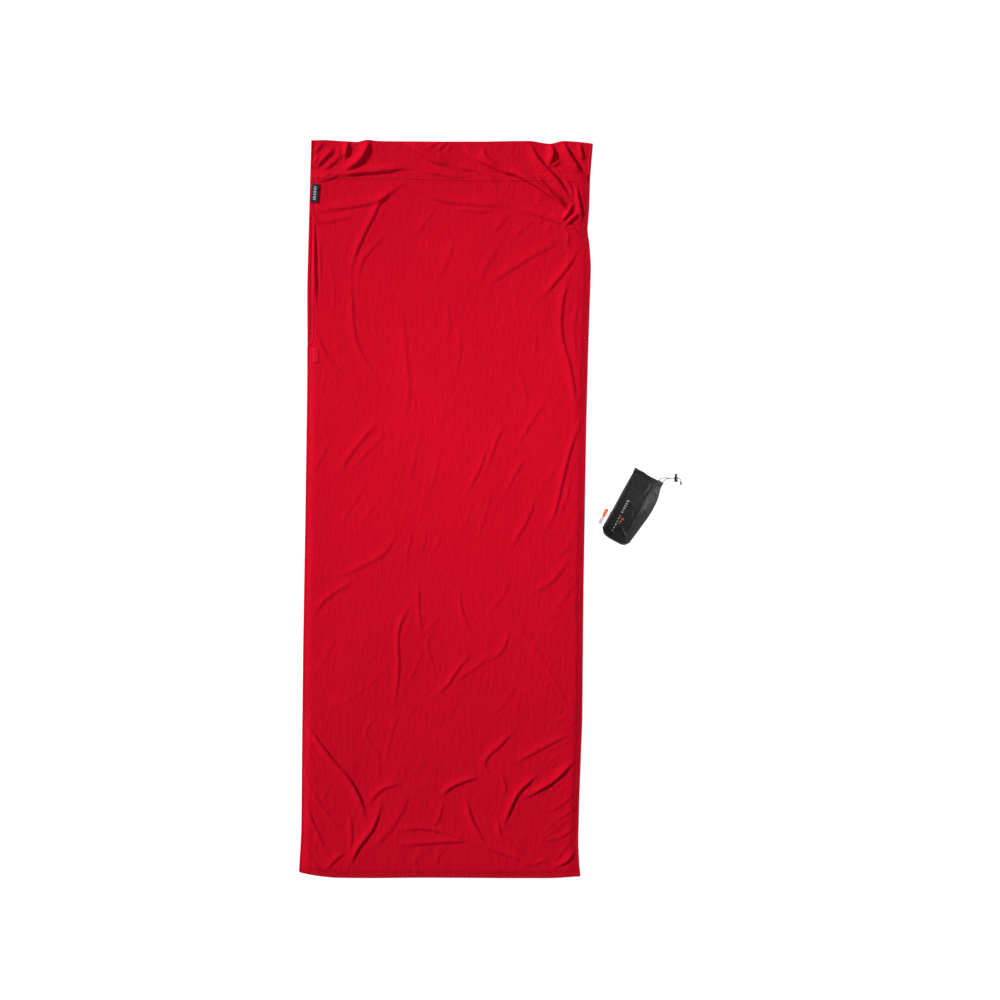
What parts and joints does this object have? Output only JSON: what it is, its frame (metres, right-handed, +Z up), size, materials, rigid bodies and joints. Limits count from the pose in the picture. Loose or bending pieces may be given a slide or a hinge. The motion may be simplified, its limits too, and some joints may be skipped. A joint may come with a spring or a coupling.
{
  "type": "rectangular sleeping bag",
  "caption": "Rectangular stretch travel sheet laid flat, with a pillow pocket, a side slit and a corner that folds back, beside its open drawcord stuff sack with a sliding cord lock.",
  "frame": {"origin": "on the ground, under the middle of the sheet and sack together, free cord left out", "axes": "+X across the sheet from its slit side to the sack, +Y along the sheet towards the head, +Z up"},
  "size_m": [1.1427, 2.2, 0.0547],
  "materials": {
    "red_jersey": "matte",
    "red_hem": "matte",
    "red_seam": "matte",
    "label_cloth": "satin",
    "black_nylon": "satin",
    "nylon_binding": "matte",
    "drawcord": "matte",
    "lock_plastic": "satin",
    "spring_wire": "satin",
    "white_tag": "satin"
  },
  "bodies": {
    "sheet": {"back_panel": "red_jersey", "front_panel": "red_jersey", "pillow_pocket": "red_jersey", "pocket_hem": "red_hem", "right_side_seam": "red_seam", "left_side_seam": "red_seam", "foot_seam": "red_seam", "pocket_seam_left": "red_seam", "pocket_seam_right": "red_seam", "slit_hem_back": "red_hem", "slit_stop_patch": "red_hem"},
    "front_corner": {"front_corner_flap": "red_jersey", "mouth_hem": "red_hem", "slit_hem_front": "red_hem", "woven_label": "label_cloth"},
    "stuff_sack": {"sack_body": "black_nylon", "sack_base": "black_nylon", "sack_base_binding": "nylon_binding", "sack_mouth_channel": "black_nylon", "channel_cord": "drawcord", "sack_side_tag": "white_tag", "sack_seam_tag": "white_tag", "drawcord_left": "drawcord", "drawcord_right": "drawcord", "drawcord_knot": "drawcord"},
    "cord_lock": {"lock_barrel": "lock_plastic", "lock_spring": "spring_wire"},
    "plunger": {"lock_plunger": "lock_plastic"}
  },
  "joints": [
    {"name": "front_corner_fold", "type": "hinge", "parent": "sheet", "child": "front_corner", "pos_m": [-0.51292, 0.48598, 0.008], "axis": [0.8526, 0.5225, 0], "range_deg": [0, 170]},
    {"name": "sack_lift", "type": "slide", "parent": "sheet", "child": "stuff_sack", "axis": [0, 0, 1], "range_m": [0, 0.3]},
    {"name": "cord_lock_slide", "type": "slide", "parent": "stuff_sack", "child": "cord_lock", "axis": [1, 0, 0], "range_m": [-0.0095, 0]},
    {"name": "plunger_press", "type": "slide", "parent": "cord_lock", "child": "plunger", "axis": [0, -1, 0], "range_m": [0, 0.0035], "stiffness_N_per_m": 300, "springref_m": -0.003, "deforming": ["lock_spring"]}
  ]
}
